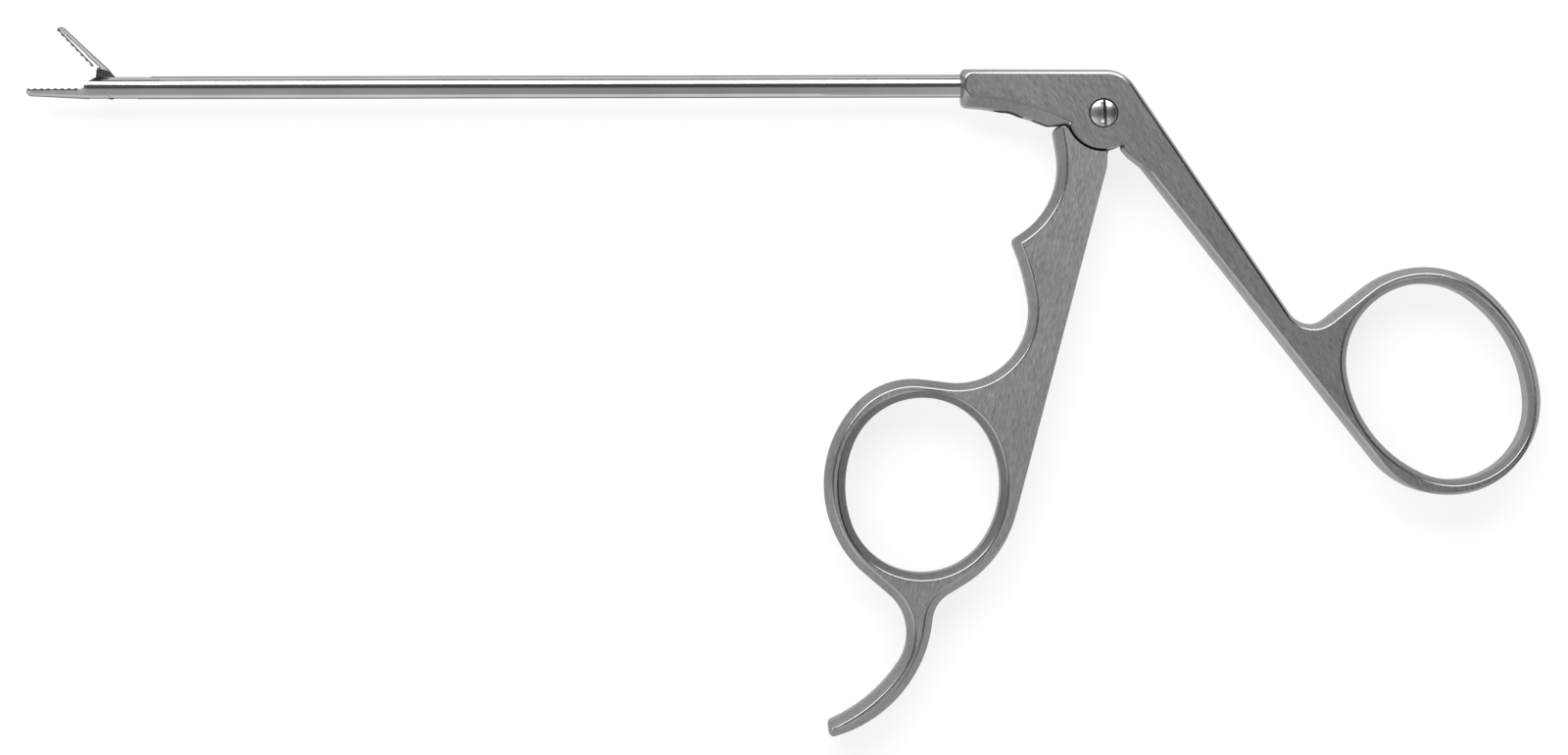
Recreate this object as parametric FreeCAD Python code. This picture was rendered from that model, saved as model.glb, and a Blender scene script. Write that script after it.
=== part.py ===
import FreeCAD
import Part
import math
import os

os.makedirs("parts", exist_ok=True)
V = FreeCAD.Vector

# Grasping forceps with a ring handle, jaws open, all sizes in millimetres.
# X runs along the shaft towards the hand, Y up the side of the instrument and Z across its thickness.
# The origin is on the shaft's axis, at the front face of the housing, halfway through the thickness.

# Shaft
working_length = 130.2
tube_diameter = 3.15
tube_bore = 2.3
tube_seat_depth = 9.2
tube_seat_diameter = 2.7
end_piece_length = 18.7

# Jaws, drawn closed
jaw_opening_angle = 46.0
jaw_pivot_from_tip = 11.7
jaw_pivot_drop = 0.9
jaw_pin_diameter = 0.75
jaw_taper_length = 8.05
jaw_tip_diameter = 2.34
jaw_nose_radius = 0.65
jaw_parting_drop = 0.08
jaw_tip_gap = 0.1
upper_back_drop = 0.13
tooth_count = 8
tooth_pitch = 0.966
tooth_depth = 0.24
tooth_undercut = 0.06
tooth_hollow = 0.03
first_tooth_from_tip = 0.36
throat_from_last_tooth = 0.378
mouth_radius = 3.6
mouth_gap = 0.09
mouth_top_from_pivot = 1.7
mouth_knee_angle = 156.0
tang_thickness = 1.1
tang_side_gap = 0.05
heel_radius = 0.62
heel_bulge = 0.08
lever_radius = 0.8
lever_height = 1.3
lever_lead = 0.5
tang_back_from_pivot = 2.3
slot_rear_from_pivot_top = 5.7
slot_rear_from_pivot_bottom = 3.7
slot_front_from_pivot = 3.15
slot_ramp = 0.6
slot_ramp_foot = 0.8

# Push rod and the pins on it
rod_diameter = 1.8
rod_head_diameter = 2.2
rod_head_length = 8.0
rod_guide_length = 8.0
drive_pin_diameter = 0.6
drive_pin_above_jaw_pivot = 1.245
drive_pin_from_rod_end = 0.55
fork_slot_length = 2.3
fork_flat_length = 3.6
fork_flat_drop = 0.36
round_bore_end_from_pivot = 2.2
channel_floor_drop = 0.42
channel_front_from_pivot = 1.7
yoke_diameter = 2.7
yoke_half_height = 1.05
yoke_front_from_pin = 6.0
yoke_web_from_pin = 1.75
yoke_rear_from_pin = 1.25
yoke_socket_depth = 3.4
lock_pin_diameter = 0.7
lock_pin_from_yoke_front = 1.7
cross_pin_diameter = 1.0
cross_pin_length = 2.6

# Handles
handle_thickness = 6.4
edge_round = 0.8
handle_pivot_x = 19.73
handle_pivot_drop = 3.96
boss_radius = 5.08
boss_gap = 0.14
housing_height = 2.12
housing_rise = 0.1
housing_corner_radius = 4.81
housing_corner_from_pivot = 0.34
front_corner_radius = 0.65
belly_corner_radius = 0.87
belly_corner_drop = 2.09
belly_curve_radius = 34.0
lobe_radius = 0.97
stop_face_drop = 5.47
tongue_slot_width = 3.05
tongue_side_gap = 0.05
tongue_slot_front = 10.0
tongue_slot_rear_from_pivot = 2.75
housing_roof = 0.6
hub_radius = 2.5
finger_thickness = 1.2
finger_width = 2.6
finger_above_pin = 0.9
finger_notch_gap = 0.04
thumb_ring_x = 66.2
thumb_ring_y = -41.54
finger_ring_x = -5.47
finger_ring_y = -55.59

# Screws
screw_head_diameter = 3.85
screw_head_height = 0.85
screw_dome_height = 0.38
screw_slot_width = 0.75
screw_slot_depth = 0.7
screw_slot_lean = 3.0
screw_shoulder_diameter = 2.5
screw_thread_diameter = 2.0
counterbore_diameter = 4.1
counterbore_depth = 1.1
set_screw_from_tube_end = 2.7
set_screw_diameter = 2.3
set_screw_length = 1.5
set_screw_slot_width = 0.4
set_screw_slot_depth = 0.45

# Fits
running_gap = 0.05
seat_gap = 0.01

# Places that follow from the sizes above
tip_x = -working_length
weld_x = tip_x + end_piece_length
tube_radius = tube_diameter / 2
bore_radius = tube_bore / 2
seat_radius = tube_seat_diameter / 2
throat_from_tip = first_tooth_from_tip + (tooth_count - 1) * tooth_pitch + throat_from_last_tooth
jaw_pivot_x = tip_x + jaw_pivot_from_tip
jaw_pivot_y = -jaw_pivot_drop
half_jaw_angle = math.radians(jaw_opening_angle / 2)
half_travel = drive_pin_above_jaw_pivot * math.tan(half_jaw_angle)
drive_pin_x = jaw_pivot_x + half_travel
drive_pin_y = jaw_pivot_y + drive_pin_above_jaw_pivot
rod_end_x = drive_pin_x - drive_pin_from_rod_end
handle_pivot_y = -handle_pivot_drop
half_handle_angle = math.atan(half_travel / handle_pivot_drop)
cross_pin_x = handle_pivot_x + half_travel
yoke_front_x = cross_pin_x - yoke_front_from_pin
half_thickness = handle_thickness / 2
set_screw_x = tube_seat_depth - set_screw_from_tube_end
tongue_thickness = tongue_slot_width - 2 * tongue_side_gap
jaw_slot_width = tang_thickness + 2 * tang_side_gap


def circle_meet(centre_a, radius_a, centre_b, radius_b, side):
    """The point where two circles cross, on the left of the line a to b for side 1, on its right for -1."""
    run = centre_b.sub(centre_a)
    apart = run.Length
    along = (apart ** 2 + radius_a ** 2 - radius_b ** 2) / (2 * apart)
    away = math.sqrt(max(radius_a ** 2 - along ** 2, 0.0))
    unit = V(run.x / apart, run.y / apart, 0)
    left = V(-unit.y, unit.x, 0)
    return centre_a + unit * along + left * (side * away)


def arc_edge(start, end, centre, turn):
    """An arc from start to end about centre, anticlockwise for a positive turn."""
    first = math.atan2(start.y - centre.y, start.x - centre.x)
    sweep = math.atan2(end.y - centre.y, end.x - centre.x) - first
    if turn > 0 and sweep <= 0:
        sweep += 2 * math.pi
    if turn < 0 and sweep >= 0:
        sweep -= 2 * math.pi
    radius = start.distanceToPoint(centre)
    middle = first + sweep / 2
    waypoint = centre + V(radius * math.cos(middle), radius * math.sin(middle), 0)
    return Part.Arc(start, waypoint, end).toShape()


def outline(turns, closed=True):
    """Edges that run anticlockwise round a list of turns, each (x, y, radius) or (x, y, radius, link).

    A turn is an arc about its centre: a positive radius bulges outwards, a negative one is a hollow and
    zero is a sharp corner. Turns are joined by tangent lines, or by a tangent arc of radius link.
    """
    count = len(turns)
    steps = count if closed else count - 1
    centres = [V(turn[0], turn[1], 0) for turn in turns]
    radii = [turn[2] for turn in turns]
    leave = {}
    arrive = {}
    joins = {}
    for i in range(steps):
        j = (i + 1) % count
        link = turns[i][3] if len(turns[i]) > 3 else None
        if link is None:
            run = centres[j].sub(centres[i])
            angle = math.atan2(run.y, run.x) - math.asin((radii[j] - radii[i]) / run.Length)
            left = V(-math.sin(angle), math.cos(angle), 0)
            leave[i] = centres[i] - left * radii[i]
            arrive[j] = centres[j] - left * radii[j]
            joins[i] = Part.LineSegment(leave[i], arrive[j]).toShape()
        else:
            side = 1 if link > 0 else -1
            middle = circle_meet(centres[i], abs(link - radii[i]), centres[j], abs(link - radii[j]), side)
            leave[i] = centres[i] - (middle - centres[i]) * (radii[i] / (link - radii[i]))
            arrive[j] = centres[j] - (middle - centres[j]) * (radii[j] / (link - radii[j]))
            joins[i] = arc_edge(leave[i], arrive[j], middle, link)
    edges = []
    for i in range(count):
        if i in arrive and i in leave and radii[i]:
            edges.append(arc_edge(arrive[i], leave[i], centres[i], radii[i]))
        if i in joins:
            edges.append(joins[i])
    return edges


def ends(edges):
    """The first and last point of a run of edges that are in order."""
    return edges[0].firstVertex(True).Point, edges[-1].lastVertex(True).Point


def plate(edges, low, high):
    """A solid between two heights in Z, from edges that close on themselves."""
    wire = Part.Wire(edges)
    face = Part.Face(wire)
    face.translate(V(0, 0, low))
    return face.extrude(V(0, 0, high - low))


def polygon(points):
    """Edges round a list of (x, y) corners."""
    corners = [V(x, y, 0) for x, y in points]
    pairs = zip(corners, corners[1:] + corners[:1])
    return [Part.LineSegment(a, b).toShape() for a, b in pairs]


def pin(x, y, low, high, radius):
    """A round pin or hole across the thickness."""
    return Part.makeCylinder(radius, high - low, V(x, y, low), V(0, 0, 1))


def bar(start, end, radius, y=0.0):
    """A round bar or bore along the shaft."""
    return Part.makeCylinder(radius, end - start, V(start, y, 0), V(1, 0, 0))


def slab(x_low, x_high, y_low, y_high, width):
    """A block centred on the instrument's middle plane."""
    return Part.makeBox(x_high - x_low, y_high - y_low, width, V(x_low, y_low, -width / 2))


def rounded_plate(turns, opening):
    """A handle's plate with an oval finger opening, both flat sides rounded at every rim."""
    solid = plate(outline(turns), -half_thickness, half_thickness)
    solid = solid.cut(plate(outline(opening), -half_thickness, half_thickness))
    rim = [edge for edge in solid.Edges if edge.BoundBox.ZMax - edge.BoundBox.ZMin < 0.001]
    return solid.makeFillet(edge_round, rim).Solids[0]


def turned(shape, angle, x, y):
    """A copy turned about an axis across the thickness, in degrees."""
    copy = shape.copy()
    copy.rotate(V(x, y, 0), V(0, 0, 1), angle)
    return copy


def save(name, shape):
    """Writes one sub-part, as one clean solid."""
    solid = shape.removeSplitter()
    if solid.ShapeType != "Solid" and len(solid.Solids) == 1:
        solid = solid.Solids[0]
    print(name, "valid", solid.isValid(), "solids", len(solid.Solids), "volume", round(solid.Volume, 3))
    solid.exportStep("parts/" + name + ".step")


# Rear handle: housing, rear arm and thumb ring
def rear_blank():
    """The rear handle without slot and bores: a plate with rounded rims, the boss and the stop tab."""
    x, y = handle_pivot_x, handle_pivot_y
    turns = [
        (x + 1.55, y - 3.27, -0.5),
        (thumb_ring_x + 1.31, thumb_ring_y - 2.54, 12.94, 21.67),
        (thumb_ring_x - 1.93, thumb_ring_y + 2.96, 13.2),
        (thumb_ring_x - 17.69, thumb_ring_y + 11.86, -3.59),
        (x + housing_corner_from_pivot, housing_height - housing_corner_radius, housing_corner_radius),
        (front_corner_radius, housing_height + housing_rise - front_corner_radius, front_corner_radius),
        (belly_corner_radius, -belly_corner_drop, belly_corner_radius, -belly_curve_radius),
        (x - 7.42, y - 0.68, lobe_radius),
    ]
    opening = [
        (thumb_ring_x - 1.84, thumb_ring_y + 2.95, 10.95, 18.08),
        (thumb_ring_x + 2.05, thumb_ring_y - 2.98, 10.4, 18.53),
    ]
    solid = rounded_plate(turns, opening)
    solid = solid.fuse(pin(x, y, -half_thickness, half_thickness, boss_radius))
    tab = [
        (x + 3.4, y - 2.9, 0),
        (x + 3.04, y - 4.77, 0.3),
        (x + 4.04, y - 5.64, 0.46),
        (x + 8.41, y - 8.98, 0.5),
        (x + 9.2, y - 6.9, 0),
    ]
    solid = solid.fuse(plate(outline(tab), -half_thickness, half_thickness))
    left = x - 7.0
    right = x - 2.5
    bottom = y - boss_radius
    over = half_thickness + 1.0
    notch = plate(polygon([(left, bottom), (right, bottom), (right, -stop_face_drop), (left, -stop_face_drop)]),
                  -over, over)
    return solid.cut(notch.cut(pin(x, y, -over, over, boss_radius)))


def tongue_slot():
    """The slot that the front handle's tongue and the yoke move in, open at the bottom."""
    rear = handle_pivot_x + tongue_slot_rear_from_pivot
    roof = housing_height - housing_roof
    floor = handle_pivot_y - boss_radius - 1.0
    slot = slab(tongue_slot_front, rear, floor, roof, tongue_slot_width)
    turn_x = handle_pivot_x + housing_corner_from_pivot
    turn_y = housing_height - housing_corner_radius
    corner = pin(turn_x, turn_y, -half_thickness, half_thickness, housing_corner_radius - housing_roof)
    left = slab(tongue_slot_front, turn_x, floor, roof, tongue_slot_width)
    right = slab(turn_x, rear, floor, turn_y, tongue_slot_width)
    return left.fuse(right).fuse(slot.common(corner))


def rear_handle():
    """Housing with its slot, shaft seat and screw holes, in one piece with the arm and the ring."""
    body = rear_blank().cut(tongue_slot())
    body = body.cut(bar(-1.0, tube_seat_depth, seat_radius + seat_gap))
    body = body.cut(bar(0.0, tongue_slot_front + 1.0, bore_radius))
    x, y = handle_pivot_x, handle_pivot_y
    shoulder = screw_shoulder_diameter / 2 + seat_gap
    thread = screw_thread_diameter / 2 + seat_gap
    body = body.cut(pin(x, y, half_thickness - counterbore_depth, half_thickness + 1.0,
                        counterbore_diameter / 2))
    body = body.cut(pin(x, y, 0.0, half_thickness, shoulder))
    body = body.cut(pin(x, y, -half_thickness - 1.0, 0.0, thread))
    hole = Part.makeCylinder(set_screw_diameter / 2 + seat_gap, 10.0, V(set_screw_x, -10.0, 0), V(0, 1, 0))
    return body.cut(hole)


# Front handle: lever with finger ring, spur and hook, and its tongue
def front_handle():
    """The front handle as it stands with the jaws open."""
    x, y = handle_pivot_x, handle_pivot_y
    turns = [
        (x - 2.6, y - 2.49, 0.3),
        (x - 5.98, y - 3.04, 0.85),
        (x - 17.34, y - 7.22, -11.13),
        (x - 11.75, y - 17.84, 0.82, -32.4),
        (x - 20.33, y - 27.32, -10.1),
        (finger_ring_x - 1.31, finger_ring_y + 3.97, 10.85, 16.45),
        (finger_ring_x + 0.38, finger_ring_y - 1.95, 13.29),
        (finger_ring_x - 9.54, finger_ring_y - 20.66, -7.37, -21.95),
        (finger_ring_x - 12.52, finger_ring_y - 33.25, 0.7),
        (finger_ring_x - 12.36, finger_ring_y - 34.09, 0.74, 18.8),
        (finger_ring_x - 14.2, finger_ring_y - 17.59, 15.58),
        (finger_ring_x + 6.0, finger_ring_y - 19.08, -4.62),
        (finger_ring_x - 2.68, finger_ring_y, 16.2),
        (x + 2.24, y - 8.04, 1.19),
        (x + 0.5, y - 3.0, 0.3),
    ]
    opening = [
        (finger_ring_x + 0.05, finger_ring_y + 1.79, 10.39, 15.39),
        (finger_ring_x - 0.05, finger_ring_y - 1.79, 10.37, 13.99),
    ]
    solid = rounded_plate(turns, opening)
    side = [
        (finger_ring_x + 12.98, finger_ring_y - 4.13, 0),
        (x + 6.0, finger_ring_y - 4.13, 0),
        (x + 6.0, y, 0),
        (x + 0.6, y, 0),
        (x - 0.67, y - 7.28, -1.19),
    ]
    solid = solid.cut(plate(outline(side), -half_thickness, half_thickness))
    solid = solid.cut(pin(x, y, -half_thickness, half_thickness, boss_radius + boss_gap))
    solid = solid.fuse(tongue())
    bore = pin(x, y, -half_thickness, half_thickness, screw_shoulder_diameter / 2 + running_gap)
    return solid.cut(bore)


def tongue():
    """The thin top of the front handle: hub, web and the forked finger that holds the cross pin."""
    x, y = handle_pivot_x, handle_pivot_y
    web = [
        (x, y, hub_radius),
        (x - 4.0, y - 3.3, 0.8),
        (x - 0.4, y - 6.2, 0.8),
    ]
    half = tongue_thickness / 2
    hub = plate(outline(web), -half, half)
    top = y + handle_pivot_drop + finger_above_pin
    finger = slab(x - finger_width / 2, x + finger_width / 2, y, top, finger_thickness)
    notch_radius = cross_pin_diameter / 2 + finger_notch_gap
    low = -notch_radius / 2
    notch = slab(x - notch_radius, x + notch_radius, low, top + 1.0, finger_thickness)
    notch = notch.fuse(pin(x, low, -finger_thickness / 2, finger_thickness / 2, notch_radius))
    finger = turned(finger.cut(notch), -math.degrees(half_handle_angle), x, y)
    return hub.fuse(finger)


# Jaws
def jaw_cone():
    """The turned outside of a jaw: a round bar that tapers to a blunt nose, about the shaft's axis."""
    taper_x = tip_x + jaw_nose_radius + jaw_taper_length
    nose_x = tip_x + jaw_nose_radius
    tip_radius = jaw_tip_diameter / 2
    shoulder = V(nose_x, tip_radius, 0)
    flat = V(tip_x, tip_radius - jaw_nose_radius, 0)
    ring = jaw_nose_radius * math.sqrt(0.5)
    waypoint = V(nose_x - ring, tip_radius - jaw_nose_radius + ring, 0)
    profile = [
        Part.LineSegment(V(tip_x, 0, 0), flat).toShape(),
        Part.Arc(flat, waypoint, shoulder).toShape(),
        Part.LineSegment(shoulder, V(taper_x, tube_radius, 0)).toShape(),
        Part.LineSegment(V(taper_x, tube_radius, 0), V(weld_x, tube_radius, 0)).toShape(),
        Part.LineSegment(V(weld_x, tube_radius, 0), V(weld_x, 0, 0)).toShape(),
        Part.LineSegment(V(weld_x, 0, 0), V(tip_x, 0, 0)).toShape(),
    ]
    return Part.Face(Part.Wire(profile)).revolve(V(0, 0, 0), V(1, 0, 0), 360)


def saw_edge():
    """The toothed line of the fixed jaw, from its nose to the throat behind the last tooth."""
    crest = -jaw_parting_drop - jaw_tip_gap / 2
    root = crest - tooth_depth
    here = V(tip_x - 1.0, crest - 1.4, 0)
    edges = []
    for tooth in range(tooth_count):
        tip = V(tip_x + first_tooth_from_tip + tooth * tooth_pitch, crest, 0)
        if tooth == 0:
            edges.append(Part.LineSegment(here, tip).toShape())
        else:
            middle = (here + tip) * 0.5 + V(tooth_hollow, -tooth_hollow, 0)
            edges.append(Part.Arc(here, middle, tip).toShape())
        foot = V(tip.x + tooth_undercut, root, 0)
        edges.append(Part.LineSegment(tip, foot).toShape())
        here = foot
    throat = V(tip_x + throat_from_tip, root, 0)
    edges.append(Part.LineSegment(here, throat).toShape())
    return edges


def mouth_point(angle, radius):
    """A point at an angle and a distance from the jaw's pivot."""
    turn = math.radians(angle)
    return V(jaw_pivot_x + radius * math.cos(turn), jaw_pivot_y + radius * math.sin(turn), 0)


def mouth_edges(start, gap):
    """The line from the throat up the mouth to above the tube, gap further out for the moving jaw."""
    radius = mouth_radius + gap
    lip_height = -jaw_parting_drop + gap / 2
    low_angle = 180.0 - math.degrees(math.asin((lip_height - jaw_pivot_y) / radius))
    lip = mouth_point(low_angle, radius)
    knee = mouth_point(mouth_knee_angle, radius)
    plain_knee = mouth_point(mouth_knee_angle, mouth_radius)
    top = V(jaw_pivot_x - mouth_top_from_pivot, tube_radius + 0.02, 0)
    slope = (top - plain_knee).normalize()
    over = knee + slope * 4.0
    edges = []
    if start is not None:
        edges.append(Part.LineSegment(start, lip).toShape())
    edges.append(arc_edge(lip, knee, V(jaw_pivot_x, jaw_pivot_y, 0), -1))
    edges.append(Part.LineSegment(knee, over).toShape())
    return edges


def fixed_jaw():
    """End piece of the shaft: lower jaw with its teeth, mouth, slot and the channel of the rod."""
    saw = saw_edge()
    throat = ends(saw)[1]
    mouth = mouth_edges(throat, 0)
    start = ends(saw)[0]
    last = ends(mouth)[1]
    above = tube_radius + 3.0
    lid = [
        Part.LineSegment(last, V(last.x, above, 0)).toShape(),
        Part.LineSegment(V(last.x, above, 0), V(start.x, above, 0)).toShape(),
        Part.LineSegment(V(start.x, above, 0), start).toShape(),
    ]
    body = jaw_cone().cut(plate(saw + mouth + lid, -half_thickness, half_thickness))
    round_end = jaw_pivot_x + round_bore_end_from_pivot
    body = body.cut(bar(round_end, weld_x + 1.0, bore_radius))
    channel = bar(jaw_pivot_x - channel_front_from_pivot, round_end + 0.5, bore_radius)
    channel = channel.common(slab(tip_x, weld_x, -channel_floor_drop, tube_radius, tube_diameter))
    body = body.cut(channel)
    half = jaw_slot_width / 2
    front = jaw_pivot_x - slot_front_from_pivot
    ramp_x = front - slot_ramp
    body = body.cut(slab(ramp_x, jaw_pivot_x + slot_rear_from_pivot_top, 0.0, tube_diameter,
                         jaw_slot_width))
    rear = jaw_pivot_x + slot_rear_from_pivot_bottom
    lower = [
        (front, -tube_diameter),
        (rear, -tube_diameter),
        (rear, 0.0),
        (ramp_x, 0.0),
        (ramp_x, slot_ramp - slot_ramp_foot),
        (front, -slot_ramp_foot),
    ]
    body = body.cut(plate(polygon(lower), -half, half))
    hole = pin(jaw_pivot_x, jaw_pivot_y, -tube_radius, tube_radius, jaw_pin_diameter / 2 + seat_gap)
    return body.cut(hole)


def moving_jaw():
    """Upper jaw: the fixed jaw's mirror image about the parting plane, with a flat tang in the slot."""
    saw = saw_edge()
    start, throat = ends(saw)
    mirror = V(0, -jaw_parting_drop, 0)
    flip = V(0, 1, 0)
    upper_saw = [edge.mirror(mirror, flip) for edge in saw]
    low_start = start.y * -1 - 2 * jaw_parting_drop
    low_throat = throat.y * -1 - 2 * jaw_parting_drop
    shoulder = mouth_edges(None, mouth_gap)
    lip, over = ends(shoulder)
    corner = V(throat.x, low_throat, 0)
    nose = V(start.x, low_start, 0)
    below = -tube_diameter
    keep_out = upper_saw + [
        Part.LineSegment(corner, lip).toShape(),
    ] + [
        Part.LineSegment(lip, V(lip.x, below, 0)).toShape(),
        Part.LineSegment(V(lip.x, below, 0), V(nose.x, below, 0)).toShape(),
        Part.LineSegment(V(nose.x, below, 0), nose).toShape(),
    ]
    cone = jaw_cone().mirror(V(0, -upper_back_drop, 0), flip)
    body = cone.cut(plate(keep_out, -half_thickness, half_thickness))
    behind = shoulder + [
        Part.LineSegment(over, V(weld_x + 1.0, over.y, 0)).toShape(),
        Part.LineSegment(V(weld_x + 1.0, over.y, 0), V(weld_x + 1.0, below, 0)).toShape(),
        Part.LineSegment(V(weld_x + 1.0, below, 0), V(lip.x, below, 0)).toShape(),
        Part.LineSegment(V(lip.x, below, 0), lip).toShape(),
    ]
    body = body.cut(plate(behind, -half_thickness, half_thickness))
    over_x = jaw_pivot_x - tang_back_from_pivot
    bulge_x = heel_bulge * math.sin(math.radians(jaw_opening_angle))
    bulge_y = heel_bulge * math.cos(math.radians(jaw_opening_angle))
    lever_x = jaw_pivot_x - lever_lead
    lever_y = jaw_pivot_y + lever_height
    tang = [
        (lever_x, lever_y, lever_radius),
        (over_x, tube_radius - 2 * upper_back_drop - 0.06, 0),
        (lip.x - 0.8, lip.y + 1.0, 0),
        (lip.x - 0.8, lip.y + 0.35, 0),
        (lip.x - 0.1, lip.y + 0.1, 0),
        (jaw_pivot_x - 2.95, jaw_pivot_y + 0.22, 0.1),
        (jaw_pivot_x + bulge_x, jaw_pivot_y - bulge_y, heel_radius),
    ]
    half = tang_thickness / 2
    body = body.fuse(plate(outline(tang), -half, half))
    body = body.cut(pin(jaw_pivot_x, jaw_pivot_y, -half, half, jaw_pin_diameter / 2 + running_gap))
    far = drive_pin_above_jaw_pivot / math.cos(half_jaw_angle)
    slot_radius = drive_pin_diameter / 2 + running_gap
    slot = slab(-slot_radius, slot_radius, drive_pin_above_jaw_pivot, far, tang_thickness)
    slot = slot.fuse(pin(0, drive_pin_above_jaw_pivot, -half, half, slot_radius))
    slot = slot.fuse(pin(0, far, -half, half, slot_radius))
    slot.translate(V(jaw_pivot_x, jaw_pivot_y, 0))
    slot = turned(slot, jaw_opening_angle / 2, jaw_pivot_x, jaw_pivot_y)
    return turned(body.cut(slot), -jaw_opening_angle, jaw_pivot_x, jaw_pivot_y)


def jaw_pivot_pin():
    """Pin across the fixed jaw, ground flush with its round sides."""
    blank = pin(jaw_pivot_x, jaw_pivot_y, -tube_radius, tube_radius, jaw_pin_diameter / 2)
    return blank.common(bar(weld_x - 12.0, weld_x, tube_radius))


# Shaft and push rod
def shaft_tube():
    """Polished tube from the weld behind the jaws to its seat in the housing."""
    outer = bar(weld_x, 0.0, tube_radius).fuse(bar(0.0, tube_seat_depth, seat_radius))
    return outer.cut(bar(weld_x - 1.0, tube_seat_depth + 1.0, bore_radius))


def push_rod():
    """Rod with a forked flat end for the jaw's tang and two thicker guide lengths."""
    rear_end = yoke_front_x + yoke_socket_depth
    guide_end = tube_seat_depth
    rod = bar(rod_end_x, rear_end, rod_diameter / 2)
    rod = rod.fuse(bar(rod_end_x, rod_end_x + rod_head_length, rod_head_diameter / 2))
    rod = rod.fuse(bar(guide_end - rod_guide_length, guide_end, rod_head_diameter / 2))
    under = slab(rod_end_x - 1.0, rod_end_x + fork_flat_length, -3.0, -fork_flat_drop, tube_diameter)
    rod = rod.cut(under)
    rod = rod.cut(slab(rod_end_x - 1.0, rod_end_x + fork_slot_length, -3.0, 3.0, jaw_slot_width))
    hole = pin(drive_pin_x, drive_pin_y, -tube_radius, tube_radius, drive_pin_diameter / 2 + seat_gap)
    rod = rod.cut(hole)
    lock = pin(yoke_front_x + lock_pin_from_yoke_front, 0, -tube_radius, tube_radius,
               lock_pin_diameter / 2 + seat_gap)
    return rod.cut(lock)


def jaw_drive_pin():
    """Pin across the rod's fork, ground flush with the rod."""
    blank = pin(drive_pin_x, drive_pin_y, -tube_radius, tube_radius, drive_pin_diameter / 2)
    return blank.common(bar(rod_end_x, rod_end_x + rod_head_length, rod_head_diameter / 2))


def rod_yoke():
    """Clevis on the rear end of the rod, with flats above and below."""
    yoke = bar(yoke_front_x, cross_pin_x + yoke_rear_from_pin, yoke_diameter / 2)
    yoke = yoke.common(slab(yoke_front_x, cross_pin_x + yoke_rear_from_pin, -yoke_half_height,
                            yoke_half_height, yoke_diameter))
    yoke = yoke.cut(bar(yoke_front_x - 1.0, yoke_front_x + yoke_socket_depth, rod_diameter / 2 + seat_gap))
    gap = finger_thickness + 2 * running_gap
    yoke = yoke.cut(slab(cross_pin_x - yoke_web_from_pin, cross_pin_x + 3.0, -3.0, 3.0, gap))
    yoke = yoke.cut(pin(cross_pin_x, 0, -2.0, 2.0, cross_pin_diameter / 2 + seat_gap))
    return yoke.cut(pin(yoke_front_x + lock_pin_from_yoke_front, 0, -2.0, 2.0,
                        lock_pin_diameter / 2 + seat_gap))


def yoke_cross_pin():
    """Pin across the yoke, held in the notch of the front handle's finger."""
    return pin(cross_pin_x, 0, -cross_pin_length / 2, cross_pin_length / 2, cross_pin_diameter / 2)


def yoke_lock_pin():
    """Pin that fixes the yoke on the rod, flush with the yoke's round sides."""
    blank = pin(yoke_front_x + lock_pin_from_yoke_front, 0, -2.0, 2.0, lock_pin_diameter / 2)
    return blank.common(bar(yoke_front_x, cross_pin_x, yoke_diameter / 2))


# Screws
def pivot_screw():
    """Slotted screw with a domed head in the counterbore, a plain shoulder and a threaded end."""
    x, y = handle_pivot_x, handle_pivot_y
    seat = half_thickness - counterbore_depth
    rim = seat + screw_head_height
    head_radius = screw_head_diameter / 2
    dome_radius = (head_radius ** 2 + screw_dome_height ** 2) / (2 * screw_dome_height)
    head = pin(x, y, seat, rim + screw_dome_height, head_radius)
    ball = Part.makeSphere(dome_radius, V(x, y, rim + screw_dome_height - dome_radius))
    head = head.common(ball)
    screw = head.fuse(pin(x, y, -tongue_slot_width / 2, seat, screw_shoulder_diameter / 2))
    screw = screw.fuse(pin(x, y, -half_thickness + running_gap, -tongue_slot_width / 2,
                           screw_thread_diameter / 2))
    slot = Part.makeBox(screw_slot_width, 2 * head_radius + 1.0, 2.0,
                        V(x - screw_slot_width / 2, y - head_radius - 0.5,
                          rim + screw_dome_height - screw_slot_depth))
    return screw.cut(turned(slot, screw_slot_lean, x, y))


def shaft_set_screw():
    """Slotted screw without a head that locks the tube in the housing, sunk in its hole."""
    top = -seat_radius
    low = top - set_screw_length
    screw = Part.makeCylinder(set_screw_diameter / 2, -low, V(set_screw_x, low, 0), V(0, 1, 0))
    tip = bar(set_screw_x - 2.0, set_screw_x + 2.0, seat_radius + seat_gap)
    slot = slab(set_screw_x - 2.0, set_screw_x + 2.0, low - 1.0, low + set_screw_slot_depth,
                set_screw_slot_width)
    return screw.cut(tip).cut(slot)


save("rear_handle", rear_handle())
save("front_handle", front_handle())
save("shaft_tube", shaft_tube())
save("fixed_jaw", fixed_jaw())
save("moving_jaw", moving_jaw())
save("jaw_pivot_pin", jaw_pivot_pin())
save("jaw_drive_pin", jaw_drive_pin())
save("push_rod", push_rod())
save("rod_yoke", rod_yoke())
save("yoke_cross_pin", yoke_cross_pin())
save("yoke_lock_pin", yoke_lock_pin())
save("pivot_screw", pivot_screw())
save("shaft_set_screw", shaft_set_screw())
print("rod travel", 2 * half_travel, "handle angle", 2 * math.degrees(half_handle_angle))
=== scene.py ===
import math

import bmesh
import bpy
from mathutils import Matrix, Vector


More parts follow.
